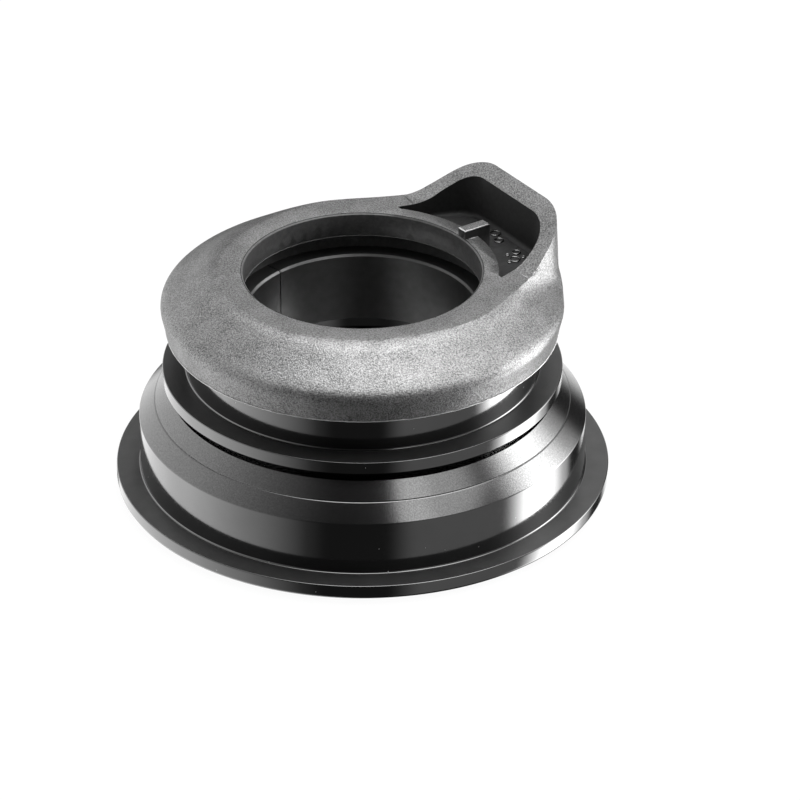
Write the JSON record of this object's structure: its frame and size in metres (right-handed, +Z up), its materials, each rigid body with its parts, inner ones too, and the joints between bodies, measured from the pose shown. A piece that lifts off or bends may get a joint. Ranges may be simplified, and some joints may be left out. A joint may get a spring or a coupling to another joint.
{
  "type": "bicycle headset",
  "caption": "Semi-integrated headset: lower and upper press-fit cups with sealed bearings, crown race, split compression ring and hooded hose-port cover.",
  "frame": {"origin": "on the steering axis, at the underside of the crown race, which is the object's lowest face", "axes": "+Z up along the steerer, from the fork to the stem; +X to the right in the picture, +Y away from the camera"},
  "size_m": [0.062, 0.062, 0.0339],
  "materials": {
    "cup_alloy": "black anodised, polished",
    "ring_alloy": "black anodised, satin",
    "cover_plastic": "fine spark texture",
    "race_steel": "black oxide",
    "ball_steel": "polished",
    "cage_nylon": "moulded",
    "seal_rubber": "moulded",
    "bearing_rubber": "moulded"
  },
  "bodies": {
    "cups": {"lower_cup": "cup_alloy", "upper_cup": "cup_alloy", "upper_outer_race": "race_steel", "upper_bearing_top_seal": "bearing_rubber", "upper_bearing_bottom_seal": "bearing_rubber", "lower_outer_race": "race_steel", "lower_bearing_top_seal": "bearing_rubber", "lower_bearing_bottom_seal": "bearing_rubber"},
    "steerer_side": {"top_cover": "cover_plastic", "cover_seal": "seal_rubber", "compression_ring": "ring_alloy", "upper_inner_race": "race_steel"},
    "fork_side": {"crown_race": "race_steel", "crown_seal": "seal_rubber", "lower_inner_race": "race_steel"},
    "upper_ball_set": {"upper_balls": "ball_steel", "upper_ball_cage": "cage_nylon"},
    "lower_ball_set": {"lower_balls": "ball_steel", "lower_ball_cage": "cage_nylon"}
  },
  "joints": [
    {"name": "cover_turn", "type": "hinge", "parent": "cups", "child": "steerer_side", "pos_m": [0, 0, 0.019], "axis": [0, 0, 1], "continuous": true},
    {"name": "crown_turn", "type": "hinge", "parent": "cups", "child": "fork_side", "pos_m": [0, 0, 0.0055], "axis": [0, 0, 1], "continuous": true},
    {"name": "upper_ball_turn", "type": "hinge", "parent": "cups", "child": "upper_ball_set", "pos_m": [0, 0, 0.0193], "axis": [0, 0, 1], "continuous": true},
    {"name": "lower_ball_turn", "type": "hinge", "parent": "cups", "child": "lower_ball_set", "pos_m": [0, 0, 0.0055], "axis": [0, 0, 1], "continuous": true}
  ],
  "couplings": [
    {"joint": "upper_ball_turn", "follows": "cover_turn", "ratio": 0.4688},
    {"joint": "lower_ball_turn", "follows": "crown_turn", "ratio": 0.4756}
  ]
}
